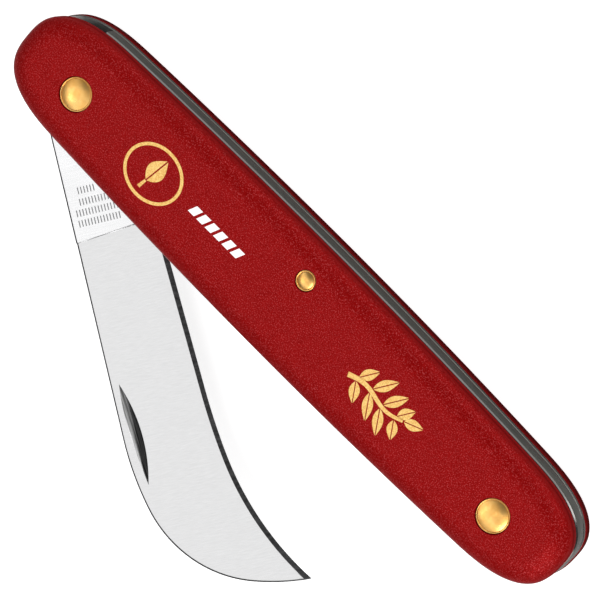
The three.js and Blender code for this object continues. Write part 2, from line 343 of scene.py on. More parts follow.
def shader(name):
    """A new material: its node tree, its principled shader and object coordinates."""
    material = bpy.data.materials.new(name)
    material.use_nodes = True
    tree = material.node_tree
    principled = tree.nodes["Principled BSDF"]
    place = tree.nodes.new("ShaderNodeTexCoord")
    return material, tree, principled, place.outputs["Object"]


def noise(tree, coords, scale, detail=2.0, rough=0.5, grain=(1, 1, 1), turn=0.0):
    """Noise drawn out by the grain factors along axes that are turned about Z."""
    mapping = tree.nodes.new("ShaderNodeMapping")
    mapping.vector_type = "TEXTURE"
    mapping.inputs["Scale"].default_value = grain
    mapping.inputs["Rotation"].default_value = (0, 0, turn)
    texture = tree.nodes.new("ShaderNodeTexNoise")
    texture.inputs["Scale"].default_value = scale
    texture.inputs["Detail"].default_value = detail
    texture.inputs["Roughness"].default_value = rough
    tree.links.new(coords, mapping.inputs["Vector"])
    tree.links.new(mapping.outputs["Vector"], texture.inputs["Vector"])
    return texture.outputs["Fac"]


def remap(tree, value, low, high, to_low, to_high):
    """A value taken from one span to another, and held at its ends."""
    node = tree.nodes.new("ShaderNodeMapRange")
    node.inputs["From Min"].default_value = low
    node.inputs["From Max"].default_value = high
    node.inputs["To Min"].default_value = to_low
    node.inputs["To Max"].default_value = to_high
    tree.links.new(value, node.inputs["Value"])
    return node.outputs["Result"]


def spread(tree, value, to_low=0, to_high=1):
    """Noise stretched from the span that it mostly keeps to."""
    return remap(tree, value, NOISE_LOW, NOISE_HIGH, to_low, to_high)


def feed(tree, socket, value):
    """Gives a socket a link, if the value is another socket, or else the value itself."""
    if isinstance(value, bpy.types.NodeSocket):
        tree.links.new(value, socket)
    else:
        socket.default_value = value


def calculate(tree, operation, *terms):
    """A math node whose terms are sockets or numbers."""
    node = tree.nodes.new("ShaderNodeMath")
    node.operation = operation
    for socket, term in zip(node.inputs, terms):
        feed(tree, socket, term)
    return node.outputs["Value"]


def blend_colours(tree, factor, first, second):
    """From the first colour at 0 to the second at 1. Either can be a socket or three numbers."""
    node = tree.nodes.new("ShaderNodeMix")
    node.data_type = "RGBA"
    for socket, colour in (("A", first), ("B", second)):
        target = [s for s in node.inputs if s.name == socket and s.type == "RGBA"][0]
        feed(tree, target, colour if isinstance(colour, bpy.types.NodeSocket) else (*colour, 1))
    tree.links.new(factor, node.inputs["Factor"])
    return [s for s in node.outputs if s.type == "RGBA"][0]


def bump(tree, principled, height, strength, distance):
    """Relief from a height, put on the shader's normal. The strength can be a socket."""
    node = tree.nodes.new("ShaderNodeBump")
    feed(tree, node.inputs["Strength"], strength)
    node.inputs["Distance"].default_value = distance
    tree.links.new(height, node.inputs["Height"])
    tree.links.new(node.outputs["Normal"], principled.inputs["Normal"])


def nylon_material(name, wall_shade_colour, wall_shade_reach):
    """Moulded red nylon: a sparkling grain on top that dies out on the steep sides, which are painted darker
    as shade.
    """
    material, tree, principled, coords = shader(name)
    facing = tree.nodes.new("ShaderNodeTexCoord").outputs["Normal"]
    tilt = tree.nodes.new("ShaderNodeSeparateXYZ")
    tree.links.new(facing, tilt.inputs["Vector"])
    upward = calculate(tree, "ABSOLUTE", tilt.outputs["Z"])
    grained = remap(tree, upward, *GRAIN_ON_TOP)
    shaded_walls = remap(tree, upward, WALL_SHADE_START, wall_shade_reach, 1, 0)
    grain = noise(tree, coords, GRAIN_SCALE, 3.0, 0.6)
    patches = noise(tree, coords, NYLON_PATCH_SCALE, 3.0, 0.55)
    flecks = noise(tree, coords, NYLON_FLECK_SCALE, 1.0, 0.5)
    base = blend_colours(tree, spread(tree, patches), *NYLON_BASE)
    base = blend_colours(tree, spread(tree, grain, 0, 0.5), base, NYLON_GRAIN)
    bright = calculate(tree, "MULTIPLY", remap(tree, flecks, *FLECKS_SHOWN), grained)
    base = blend_colours(tree, bright, base, NYLON_FLECK)
    # Painted shade: the steep walls are darkened toward the wall shade colour.
    base = blend_colours(tree, shaded_walls, base, wall_shade_colour)
    tree.links.new(base, principled.inputs["Base Color"])
    rough = spread(tree, grain, *NYLON_ROUGHNESS)
    dulled = calculate(tree, "MAXIMUM", rough, remap(tree, upward, *ROUGH_ON_WALL))
    tree.links.new(dulled, principled.inputs["Roughness"])
    principled.inputs["Metallic"].default_value = NYLON_METALLIC
    principled.inputs["Specular IOR Level"].default_value = NYLON_SPECULAR
    principled.inputs["Specular Tint"].default_value = NYLON_TINT
    bump(tree, principled, grain, grained, NYLON_RELIEF)
    return material


def steel_material(name, colour, roughness, line_kind, relief, contrast, turn=0.0):
    """Ground or rolled metal: fine lines in one direction, slight clouding in gloss."""
    material, tree, principled, coords = shader(name)
    stretch, scale = line_kind
    lines = noise(tree, coords, scale, 2.0, 0.6, stretch, turn)
    cloud = noise(tree, coords, STEEL_CLOUD_SCALE, 3.0, 0.5)
    shade = tuple(channel * (1 - contrast) for channel in colour)
    tone = blend_colours(tree, spread(tree, lines), colour, shade)
    tree.links.new(tone, principled.inputs["Base Color"])
    gloss = spread(tree, cloud, *(roughness * share for share in STEEL_GLOSS))
    tree.links.new(gloss, principled.inputs["Roughness"])
    principled.inputs["Metallic"].default_value = 1.0
    bump(tree, principled, lines, relief, SCRATCH_DEPTH)
    return material


def nick_material():
    """The nail nick's floor: coarse lines along it, with painted shade: light where it is shallow and black
    where it is deep.
    """
    material, tree, principled, coords = shader("nick_floor")
    turn = BLADE_REST_ANGLE + NICK_TILT
    stretch, scale = NICK_LINES
    lines = noise(tree, coords, scale, 3.0, 0.7, stretch, turn)
    mapping = tree.nodes.new("ShaderNodeMapping")
    mapping.vector_type = "TEXTURE"
    mapping.inputs["Location"].default_value = BLADE_PLACE @ Vector((NICK_START.x, NICK_START.y, 0))
    mapping.inputs["Rotation"].default_value = (0, 0, turn)
    tree.links.new(coords, mapping.inputs["Vector"])
    place = tree.nodes.new("ShaderNodeSeparateXYZ")
    tree.links.new(mapping.outputs["Vector"], place.inputs["Vector"])
    drift = calculate(tree, "MULTIPLY_ADD", place.outputs["X"], NICK_SHADE_DRIFT, place.outputs["Y"])
    frayed = calculate(tree, "MULTIPLY_ADD", lines, 3 * NICK_SHADE_FADE, drift)
    start = NICK_SHADE_START + 1.5 * NICK_SHADE_FADE
    streaks = remap(tree, lines, *NICK_STREAKS)
    light = blend_colours(tree, streaks, *NICK_LIT_COLOURS)
    dark = blend_colours(tree, streaks, *NICK_SHADED_COLOURS)
    # Painted shade: black towards the deep side, light towards the shallow one.
    depth = remap(tree, frayed, start - NICK_SHADE_FADE / 2, start + NICK_SHADE_FADE / 2, 0, 1)
    tree.links.new(blend_colours(tree, depth, light, dark), principled.inputs["Base Color"])
    tree.links.new(spread(tree, lines, *NICK_ROUGHNESS), principled.inputs["Roughness"])
    principled.inputs["Metallic"].default_value = 1.0
    bump(tree, principled, lines, 0.3, SCRATCH_DEPTH)
    return material


def brass_material():
    """Spun brass: rings round each head that draw the light out across them, and handling marks."""
    material, tree, principled, coords = shader("brass")
    rings = tree.nodes.new("ShaderNodeTangent")
    rings.direction_type = "RADIAL"
    rings.axis = "Z"
    tree.links.new(rings.outputs["Tangent"], principled.inputs["Tangent"])
    principled.inputs["Anisotropic"].default_value = BRASS_ANISOTROPY
    cloud = noise(tree, coords, BRASS_CLOUD_SCALE, 3.0, 0.55)
    marks = noise(tree, coords, BRASS_MARK_SCALE, 2.0, 0.6)
    colour = blend_colours(tree, spread(tree, cloud), *BRASS_COLOURS)
    tree.links.new(colour, principled.inputs["Base Color"])
    tree.links.new(spread(tree, cloud, *BRASS_ROUGHNESS), principled.inputs["Roughness"])
    principled.inputs["Metallic"].default_value = 1.0
    bump(tree, principled, marks, 0.2, SCRATCH_DEPTH)
    return material


def print_material(name, light, dark, metallic, glow):
    """Thin pad-printed ink that takes up the grain of the nylon under it, with a slight glow of painted
    light.
    """
    material, tree, principled, coords = shader(name)
    grain = noise(tree, coords, GRAIN_SCALE, 3.0, 0.6)
    colour = blend_colours(tree, remap(tree, grain, *INK_WEAR), light, dark)
    tree.links.new(colour, principled.inputs["Base Color"])
    tree.links.new(spread(tree, grain, *INK_ROUGHNESS), principled.inputs["Roughness"])
    principled.inputs["Metallic"].default_value = metallic
    # Painted light: the ink glows a little in its own colour.
    principled.inputs["Emission Color"].default_value = (*light, 1)
    principled.inputs["Emission Strength"].default_value = glow
    bump(tree, principled, grain, 0.25, INK_RELIEF)
    return material


def floor_material():
    """Matt white paper with a barely visible tooth, which glows for camera rays only."""
    material, tree, principled, coords = shader("white_paper")
    tooth = noise(tree, coords, 1500, 3.0, 0.6)
    colour = blend_colours(tree, tooth, *PAPER)
    tree.links.new(colour, principled.inputs["Base Color"])
    principled.inputs["Roughness"].default_value = 0.9
    principled.inputs["Specular IOR Level"].default_value = 0.1
    principled.inputs["Emission Color"].default_value = (1, 1, 1, 1)
    rays = tree.nodes.new("ShaderNodeLightPath")
    glow = remap(tree, rays.outputs["Is Camera Ray"], 0, 1, 0, PAPER_GLOW)
    tree.links.new(glow, principled.inputs["Emission Strength"])
    return material


# The wall colour of each scale is painted shade; on the back scale it is darker and reaches further up the
# sides.
FRONT_NYLON = nylon_material("red_nylon_front", (0.19, 0.0004, 0.0006), 0.12)
BACK_NYLON = nylon_material("red_nylon_back", (0.07, 0.0010, 0.0012), 0.45)
# Each metal: its colour, roughness, kind of lines, and how deep and how dark the lines are. Those of
# the blade lean with it.
LEAN = BLADE_REST_ANGLE
BLADE_STEEL = steel_material("blade_ground", (0.65, 0.65, 0.653), 0.16, ACROSS, 0.05, 0.07, LEAN)
# The unground part's steel is lighter than the ground face's: a painted highlight.
RICASSO_STEEL = steel_material("blade_ricasso", (0.735, 0.735, 0.74), 0.16, ACROSS, 0.05, 0.07, LEAN)
# The cutting bevel's darker steel is a painted reflection, under its coarse grinding lines.
BEVEL_STEEL = steel_material("blade_bevel", (0.32, 0.32, 0.325), 0.2, COARSE, 0.25, 0.65, LEAN)
# The spine chamfer's dark steel is painted shade.
SPINE_STEEL = steel_material("blade_spine", (0.20, 0.20, 0.205), 0.3, ALONG, 0.1, 0.3, LEAN)
NICK_STEEL = nick_material()
ETCHED_STEEL = steel_material("etched_steel", (0.23, 0.23, 0.235), 0.45, ACROSS, 0.1, 0.3, LEAN)
SPRING_STEEL = steel_material("spring_steel", (0.145, 0.155, 0.132), 0.3, ALONG, 0.12, 0.3)
# The spring's chamfers get a lighter steel: a painted highlight.
CHAMFER_HIGHLIGHT_STEEL = steel_material("spring_edge", (0.19, 0.182, 0.175), 0.22, ALONG, 0.12, 0.2)
# The liners' metal is painted dark as shade, darkest on the sides and chamfers.
LINER_SHADED_METAL = steel_material("liner_aluminium", (0.175, 0.18, 0.165), 0.3, ROLLED, 0.08, 0.2)
LINER_FACE = steel_material("liner_face", (0.36, 0.365, 0.355), 0.35, ROLLED, 0.08, 0.1)
BRASS = brass_material()
# The last number of each print is a glow of painted light.
GOLD_PRINT = print_material("gold_print", (1.0, 0.68, 0.22), (0.8, 0.42, 0.08), 0.1, 0.08)
WHITE_PRINT = print_material("white_print", (1.0, 0.98, 0.98), (0.94, 0.88, 0.88), 0.0, 0.22)


# -------------------- handle outline

def half_width(x):
    """Half the handle's width at a place along it."""
    side_radius = PIVOT_SIDE_RADIUS if x < 0 else BUTT_SIDE_RADIUS
    into_end = max(0.0, (abs(x) - END_START) / (HALF_LENGTH - END_START))
    end_factor = max(0.0, 1 - into_end ** END_POWER) ** (1 / END_POWER)
    return (HALF_WIDTH - x * x / (2 * side_radius)) * end_factor


def outline_point(angle):
    """A point of the outline, for angles that run counter-clockwise from the butt."""
    x = HALF_LENGTH * math.cos(angle)
    return Vector((x, math.copysign(half_width(x), math.sin(angle))))


def inset_point(angle, inset):
    """A point of the outline moved inward."""
    ahead = outline_point(angle + TANGENT_STEP)
    tangent = (ahead - outline_point(angle - TANGENT_STEP)).normalized()
    return outline_point(angle) + Vector((-tangent.y, tangent.x)) * inset


def handle_loop(inset):
    """The whole outline moved inward."""
    count = OUTLINE_POINTS
    return [inset_point(2 * math.pi * (i + 0.5) / count, inset) for i in range(count)]


# -------------------- scales

FILLET_INSET = 3.4 * MM
FILLET_HEIGHT = 2.2 * MM
FILLET_STEPS = 22
FACE_DROP = 0.02 * MM
EDGE_BREAK = 0.12 * MM
EDGE_KNEE = 0.3 * EDGE_BREAK
SEAT_DEPTH = 1.38 * MM
SEAT_FLARE = 0.07 * MM


def fillet(part):
    """Inset and drop below the flat face, for part from 0 at the face to 1 at the wall."""
    turn = math.pi / 2 * part
    return FILLET_INSET * (1 - math.sin(turn)), FILLET_HEIGHT * (1 - math.cos(turn))


def seat_profile(inner_face, outer_face, sign, pin_radius, cap_radius):
    """The hole for one rivet: a bore for its pin and a flared seat for its cap."""
    bore = pin_radius + CLEARANCE
    seat = cap_radius + CLEARANCE
    seat_floor = outer_face - sign * SEAT_DEPTH
    beyond = outer_face + sign * MM
    before = inner_face - sign * MM
    return [
        (0.0, before),
        (bore, before),
        (bore, seat_floor),
        (seat, seat_floor),
        (seat, outer_face - sign * SEAT_FLARE),
        (seat + SEAT_FLARE, outer_face),
        (seat + SEAT_FLARE, beyond),
        (0.0, beyond),
    ]


def scale_piece(name, is_front):
    """One nylon scale: broken inner edge, wall, fillet and flat face, with its three rivet seats."""
    low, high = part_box(name)
    sign = 1 if is_front else -1
    inner_face = low.z if is_front else high.z
    outer_face = TOP - FACE_DROP if is_front else FACE_DROP
    loops = [
        lift(handle_loop(EDGE_BREAK), inner_face),
        lift(handle_loop(EDGE_KNEE), inner_face + sign * EDGE_KNEE),
        lift(handle_loop(0), inner_face + sign * EDGE_BREAK),
    ]
    for i in range(FILLET_STEPS, -1, -1):
        inset, drop = fillet(i / FILLET_STEPS)
        loops.append(lift(handle_loop(inset), outer_face - sign * drop))
    loops.append(lift(handle_loop(FILLET_INSET + EDGE_BREAK), outer_face))
    piece = stacked(name + "_moulding", loops, FRONT_NYLON if is_front else BACK_NYLON)
    holes = []
    for rivet, cap_radius in RIVETS.items():
        centre, pin_radius = shank(rivet)
        holes.append((centre, seat_profile(inner_face, outer_face, sign, pin_radius, cap_radius)))
    drill(piece, holes)
    smooth(piece, CREASE)
    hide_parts(name)
    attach(piece, "handle")


scale_piece("front_scale", True)
scale_piece("back_scale", False)


# -------------------- liners

LINER_INSET = {"front_liner": 0.3 * MM, "back_liner": 0.06 * MM}
LINER_CHAMFER = (0.08 * MM, 0.06 * MM)


def liner_piece(name):
    """A sheet liner of rolled metal, painted dark as shade in the narrow gap, its sides darker than its
    faces.
    """
    low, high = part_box(name)
    outline = handle_loop(LINER_INSET[name])
    piece = chamfered_plate(name + "_sheet", outline, low.z, high.z, *LINER_CHAMFER, LINER_SHADED_METAL)
    holes = []
    for rivet in RIVETS:
        centre, pin_radius = shank(rivet)
        holes.append((centre, straight_hole(pin_radius + CLEARANCE, low.z - MM, high.z + MM)))
    drill(piece, holes)
    piece.data.materials.append(LINER_FACE)
    for face in piece.data.polygons:
        if abs(face.normal.z) > FLAT_NORMAL:
            face.material_index = 1
    smooth(piece, CREASE)
    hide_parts(name)
    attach(piece, "handle")


liner_piece("front_liner")
liner_piece("back_liner")


# -------------------- rivet caps

CAP_RIM = 0.27 * MM
CAP_GROOVE_WIDTH = 0.03 * MM
CAP_GROOVE_DEPTH = 0.08 * MM
CAP_LIP_RISE = 0.1 * MM
CAP_LIP_ROUND = 0.12 * MM
CAP_LIP_STEPS = 6
CAP_BORE_DEPTH = 0.7 * MM
DOME_SAG = {"pivot": 0.3 * MM, "middle": 0.22 * MM, "butt": 0.3 * MM}
DOME_STEPS = 14


def cap_profile(rivet, depth):
    """From the top of the dome over the groove and the rim to the blind bore, as (radius, height)."""
    radius = RIVETS[rivet]
    dome = radius - CAP_RIM
    sag = DOME_SAG[rivet]
    bore = shank(rivet)[1] + CLEARANCE
    profile = [(0.0, 0.0)]
    for i in range(1, DOME_STEPS + 1):
        part = i / DOME_STEPS
        profile.append((dome * part, -sag * part * part))
    profile.append((dome + CAP_GROOVE_WIDTH, -sag - CAP_GROOVE_DEPTH))
    half_rim = (CAP_RIM - CAP_GROOVE_WIDTH) / 2
    lip = -sag + CAP_LIP_RISE - CAP_LIP_ROUND
    for i in range(CAP_LIP_STEPS + 1):
        turn = math.pi * (1 - i / CAP_LIP_STEPS)
        profile.append((radius - half_rim + half_rim * math.cos(turn), lip + CAP_LIP_ROUND * math.sin(turn)))
    profile += [(radius, -depth), (bore, -depth), (bore, -CAP_BORE_DEPTH), (0.0, -CAP_BORE_DEPTH)]
    return profile


def cap_piece(rivet, side):
    """A cap with a low dome inside a narrow raised rim."""
    node = f"{rivet}_cap_{side}"
    low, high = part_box(node)
    sign = 1 if side == "front" else -1
    outer = high.z if side == "front" else low.z
    centre = Vector(((low.x + high.x) / 2, (low.y + high.y) / 2, outer))
    profile = [(radius, sign * height) for radius, height in cap_profile(rivet, high.z - low.z)]
    piece = lathe(node + "_head", profile, centre, BRASS)
    smooth(piece, CAP_CREASE)
    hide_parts(node)
    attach(piece, "handle")


for rivet_name in RIVETS:
    for side_name in ("front", "back"):
        cap_piece(rivet_name, side_name)


# -------------------- back spring

SPRING_FRONT_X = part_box("back_spring")[0].x
CONTACT_Y = PIVOT.y + TANG_RADIUS + 0.05 * MM
FLAT_END_X = -34.7 * MM
DEEP_START_X = -4 * MM
DEEP_END_X = 5 * MM
DEEP_Y = 2 * MM
SLIM_START_X = 24 * MM
SLIM_Y = 4.65 * MM
EASE = 0.45
BLOCK_X = 34.8 * MM
BLOCK_TOE = 1.6 * MM
BLOCK_FILLET = 1.9 * MM
SPRING_INSET = 0.05 * MM
SPRING_CHAMFER = (0.2 * MM, 0.14 * MM)
SPRING_SLACK = {"butt": 0.1 * MM, "middle": 0.32 * MM}
CURVE_STEPS = 24
CORNER_STEPS = 12
BACK_STEPS = 200


def s_curve(start, end, steps):
    """A smooth step between two levels, level at both of its ends."""
    reach = EASE * (end.x - start.x)
    first = Vector((start.x + reach, start.y))
    second = Vector((end.x - reach, end.y))
    points = []
    for i in range(steps + 1):
        t = i / steps
        u = 1 - t
        points.append(start * u ** 3 + first * (3 * u * u * t) + second * (3 * u * t * t) + end * t ** 3)
    return points


def spring_outline():
    """The bar from its front end along the inside, round the butt block and back along the outside."""
    front = math.acos(SPRING_FRONT_X / HALF_LENGTH)
    block = -math.acos((BLOCK_X + BLOCK_TOE) / HALF_LENGTH)
    points = [Vector((SPRING_FRONT_X, CONTACT_Y))]
    points += s_curve(Vector((FLAT_END_X, CONTACT_Y)), Vector((DEEP_START_X, DEEP_Y)), CURVE_STEPS)
    points += s_curve(Vector((DEEP_END_X, DEEP_Y)), Vector((SLIM_START_X, SLIM_Y)), CURVE_STEPS)
    for i in range(CORNER_STEPS + 1):
        turn = math.pi / 2 * (1 - i / CORNER_STEPS)
        points.append(Vector((BLOCK_X - BLOCK_FILLET + BLOCK_FILLET * math.cos(turn),
                              SLIM_Y - BLOCK_FILLET + BLOCK_FILLET * math.sin(turn))))
    for i in range(BACK_STEPS + 1):
        points.append(inset_point(block + (front - block) * i / BACK_STEPS, SPRING_INSET))
    return points


def spring_piece():
    """The back spring, with its chamfers in a lighter steel as a painted highlight."""
    low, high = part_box("back_spring")
    inset, drop = SPRING_CHAMFER
    piece = chamfered_plate("back_spring_bar", spring_outline(), low.z, high.z, inset, drop, SPRING_STEEL)
    holes = []
    for rivet, slack in SPRING_SLACK.items():
        centre, pin_radius = shank(rivet)
        holes.append((centre, straight_hole(pin_radius + slack, low.z - MM, high.z + MM)))
    drill(piece, holes)
    # Painted highlight: the chamfer faces take the lighter steel.
    piece.data.materials.append(CHAMFER_HIGHLIGHT_STEEL)
    for face in piece.data.polygons:
        if STEEP_NORMAL < abs(face.normal.z) < FLAT_NORMAL:
            face.material_index = 1
    smooth(piece, CREASE)
    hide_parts("back_spring")
    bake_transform(piece)


spring_piece()


# -------------------- blade

def arc_path(start, heading, straight, arcs, steps):
    """Straight on, then through arcs, each given as (radius, turn in degrees)."""
    place = start.copy()
    points = [place.copy()]
    place += Vector((math.cos(heading), math.sin(heading))) * straight
    points.append(place.copy())
    angle = heading
    for radius, turn in arcs:
        step = math.radians(turn) / steps
        chord = 2 * radius * math.sin(step / 2)
        for _ in range(steps):
            place += Vector((math.cos(angle + step / 2), math.sin(angle + step / 2))) * chord
            angle += step
            points.append(place.copy())
    return points


def crowded_points(points, start, count, power):
    """Points along a path, from the distance start to its end, that crowd together toward the end."""
    marks = [0.0]
    for first, second in zip(points, points[1:]):
        marks.append(marks[-1] + (second - first).length)
    result = []
    segment = 0
    for i in range(count + 1):
        target = start + (marks[-1] - start) * (1 - (1 - i / count) ** power)
        while segment < len(marks) - 2 and marks[segment + 1] < target:
            segment += 1
        span = marks[segment + 1] - marks[segment]
        part = min(1.0, max(0.0, (target - marks[segment]) / span))
        result.append(points[segment].lerp(points[segment + 1], part))
    return result


ARC_STEPS = 60
EDGE_PATH = arc_path(EDGE_START, EDGE_SLOPE, EDGE_STRAIGHT, EDGE_ARCS, ARC_STEPS)
SPINE_PATH = arc_path(Vector((STOP_X, SPINE_Y)), 0.0, SPINE_ARC_START - STOP_X, SPINE_ARCS, ARC_STEPS)
TIP = (EDGE_PATH[-1] + SPINE_PATH[-1]) / 2
EDGE_PATH[-1] = TIP
SPINE_PATH[-1] = TIP

BEVEL_WIDTH = 0.66 * MM
BEVEL_HALF = 0.27 * MM
EDGE_HALF = 0.012 * MM
GRIND_RISE = 0.086
SPINE_CHAMFER = 0.26 * MM
SPINE_REACH = 0.9 * SPINE_CHAMFER
BEVEL_REACH = 0.98 * BEVEL_WIDTH

# The most that the bevel and the spine chamfer may take of a narrow section's width and thickness.
BEVEL_SHARE = 0.45
SPINE_SHARE = 0.2
DROP_SHARE = 0.45

PLUNGE_EDGE_X = 18.0 * MM
PLUNGE_SPINE_X = 19.05 * MM
PLUNGE_RUN = 0.2 * MM
PLUNGE_STEPS = 8
RUNG_STEPS = 14
STATIONS = 220
CROWDING = 1.15
NARROWEST = 0.05 * MM
TANG_OVERLAP_X = 9.6 * MM
CHOIL_RUN = 1.2 * MM
KICK_RUN = 0.9 * MM
TANG_STEPS = 40
PIVOT_BORE = 1.4 * MM
PIVOT_CUT = 3 * MM


def path_distance(point, path):
    """The distance from a point to the nearest place on a path."""
    best = 1.0
    for first, second in zip(path, path[1:]):
        span = second - first
        part = min(1.0, max(0.0, (point - first).dot(span) / span.length_squared))
        best = min(best, (first + span * part - point).length)
    return best


def edge_distance(point):
    """The distance from a point to the cutting edge."""
    return path_distance(point, EDGE_PATH)


def ground_half(distance):
    """Half thickness of the ground part at a distance from the cutting edge."""
    if distance < BEVEL_WIDTH:
        return EDGE_HALF + (BEVEL_HALF - EDGE_HALF) * distance / BEVEL_WIDTH
    return min(BLADE_HALF, BEVEL_HALF + (distance - BEVEL_WIDTH) * GRIND_RISE)


def section(edge, spine, ground):
    """One cross-section of the blade as a closed loop, from the front edge round to the back."""
    rung = spine - edge
    length = max(rung.length, 1e-6)
    bevel = min(BEVEL_SHARE, BEVEL_WIDTH / length)
    chamfer = min(SPINE_SHARE, SPINE_CHAMFER / length)
    parts = [0.0, bevel * 0.5, bevel]
    parts += [bevel + (1 - chamfer - bevel) * i / RUNG_STEPS for i in range(1, RUNG_STEPS + 1)]
    front = []
    for part in parts:
        point = edge + rung * part
        half = BLADE_HALF
        if ground > 0:
            half = BLADE_HALF + (ground_half(edge_distance(point)) - BLADE_HALF) * ground
        front.append((point, half))
    point, half = front[-1]
    drop = min(DROP_SHARE * half, SPINE_CHAMFER * 0.5)
    front.append((spine, half - drop))
    loop = [Vector((p.x, p.y, h)) for p, h in front]
    loop += [Vector((p.x, p.y, -h)) for p, h in reversed(front)]
    return loop


def tang_outline():
    """The rounded tang with its kick and choil, and an inner part that overlaps the blade."""
    corner = math.acos(TANG_FLAT / TANG_RADIUS)
    tilt = CLOSED_FLAT_TILT
    kick_y = (TANG_FLAT + KICK_X * math.sin(tilt)) / math.cos(tilt)
    choil_y = EDGE_START.y - CHOIL_DEPTH
    under_y = SPINE_Y + 2 * SPINE_CHAMFER
    points = [Vector((STOP_X, SPINE_Y)), Vector((STOP_X + SPINE_CHAMFER, SPINE_Y))]
    points += [Vector((STOP_X + 3 * SPINE_CHAMFER, under_y)), Vector((TANG_OVERLAP_X, under_y))]
    points += [Vector((TANG_OVERLAP_X, EDGE_START.y))]
    points += [EDGE_START.copy(), Vector((EDGE_START.x - CHOIL_RUN, choil_y))]
    points += [Vector((KICK_X + KICK_RUN, choil_y)), Vector((KICK_X, kick_y))]
    first = math.pi / 2 + tilt + corner
    last = 3 * math.pi / 2 - corner
    for i in range(TANG_STEPS + 1):
        turn = first + (last - first) * i / TANG_STEPS
        points.append(Vector((TANG_RADIUS * math.cos(turn), TANG_RADIUS * math.sin(turn))))
    points.append(Vector((STOP_X, -TANG_FLAT)))
    return points


NICK_ABOVE = 0.6 * MM
NICK_STEPS = 40
NICK_FLOOR_STEPS = 9
NICK_END_WIDTH = 0.01 * MM
NICK_END_DEPTH = 0.02
NICK_LOPSIDED = (1.35, 0.7)
NICK_LENGTHWISE = 0.8
NICK_CROSSWISE = 1.7


def nick_cutter():
    """The nail nick: a crescent with a crisp wall towards the edge and a floor that fades out."""
    chord = NICK_END - NICK_START
    across = Vector((-chord.y, chord.x)).normalized()
    fullest, fall = NICK_LOPSIDED
    loops = []
    for i in range(NICK_STEPS + 1):
        part = i / NICK_STEPS
        swell = 4 * part * (1 - part)
        place = NICK_START + chord * part
        deep = place + across * (NICK_DEEP_BULGE * swell + NICK_END_WIDTH)
        shallow = place - across * (NICK_SHALLOW_BULGE * swell * (fullest - fall * part) + NICK_END_WIDTH)
        depth = NICK_DEPTH * max(NICK_END_DEPTH, swell) ** NICK_LENGTHWISE
        deep_face = ground_half(edge_distance(deep))
        shallow_face = ground_half(edge_distance(shallow))
        loop = [Vector((deep.x, deep.y, deep_face + NICK_ABOVE))]
        for k in range(NICK_FLOOR_STEPS + 1):
            reach = 1 - k / NICK_FLOOR_STEPS
            point = shallow.lerp(deep, reach)
            face = shallow_face + (deep_face - shallow_face) * reach
            loop.append(Vector((point.x, point.y, face - depth * reach ** NICK_CROSSWISE)))
        out = shallow - across * NICK_ABOVE
        loop.append(Vector((out.x, out.y, shallow_face + NICK_ABOVE)))
        loops.append(loop)
    return stacked("nick", loops, NICK_STEEL)


def blade_sections():
    """Places along the blade as (edge point, spine point, share of the grind)."""
    edge_slope = math.tan(EDGE_SLOPE)
    sections = []
    for part in (0.0, 0.5, 1.0):
        edge_x = EDGE_START.x + (PLUNGE_EDGE_X - EDGE_START.x) * part
        spine_x = STOP_X + (PLUNGE_SPINE_X - STOP_X) * part
        edge_y = EDGE_START.y + (edge_x - EDGE_START.x) * edge_slope
        sections.append((Vector((edge_x, edge_y)), Vector((spine_x, SPINE_Y)), 0.0))
    edge_start = (PLUNGE_EDGE_X - EDGE_START.x) / math.cos(EDGE_SLOPE)
    edge_marks = crowded_points(EDGE_PATH, edge_start, STATIONS, CROWDING)
    spine_marks = crowded_points(SPINE_PATH, PLUNGE_SPINE_X - STOP_X, STATIONS, CROWDING)
    for i in range(1, PLUNGE_STEPS + 1):
        part = i / PLUNGE_STEPS
        shift = Vector((PLUNGE_RUN * part * part, 0))
        sections.append((edge_marks[0] + shift, spine_marks[0] + shift, 1 - (1 - part) ** 3))
    for edge, spine in zip(edge_marks, spine_marks):
        if edge.x > PLUNGE_EDGE_X + PLUNGE_RUN * 1.5 and (spine - edge).length > NARROWEST:
            sections.append((edge, spine, 1.0))
    return sections


def paint_blade_light_and_shade(piece):
    """Paints light and shade by zone: a lighter steel on the unground part as a painted highlight, a darker
    one on the cutting bevel as a painted reflection, and a dark one on the narrow spine chamfer as painted
    shade.
    """
    for steel in (RICASSO_STEEL, BEVEL_STEEL, SPINE_STEEL):
        piece.data.materials.append(steel)
    slots = {slot.name: index for index, slot in enumerate(piece.data.materials)}
    plunge_slope = (PLUNGE_EDGE_X - PLUNGE_SPINE_X) / (EDGE_START.y - SPINE_Y)
    for face in piece.data.polygons:
        if face.material_index == slots["nick_floor"]:
            continue
        place = Vector((face.center.x, face.center.y))
        if place.x > TANG_FLAT and path_distance(place, SPINE_PATH) < SPINE_REACH:
            face.material_index = slots["blade_spine"]
        elif place.x < PLUNGE_SPINE_X + (place.y - SPINE_Y) * plunge_slope:
            face.material_index = slots["blade_ricasso"]
        elif edge_distance(place) < BEVEL_REACH:
            face.material_index = slots["blade_bevel"]


def blade_piece():
    """The hooked blade: ground body and tang in one, with the nail nick and the bore for the pivot."""
    loops = [section(*entry) for entry in blade_sections()]
    loops.append([Vector((TIP.x, TIP.y, 0))] * len(loops[0]))
    piece = stacked("blade_hooked", loops, BLADE_STEEL)
    rim = SPINE_CHAMFER / 2
    tang = chamfered_plate("tang", tang_outline(), -BLADE_HALF, BLADE_HALF, rim, rim, BLADE_STEEL)
    boolean(piece, tang, "UNION")
    boolean(piece, nick_cutter(), "DIFFERENCE", "TRANSFER")
    drill(piece, [(Vector((0, 0, 0)), straight_hole(PIVOT_BORE, -PIVOT_CUT, PIVOT_CUT))])
    paint_blade_light_and_shade(piece)
    piece.data.transform(BLADE_PLACE)
    smooth(piece, BLADE_CREASE)
    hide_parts("blade")
    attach(piece, "blade")


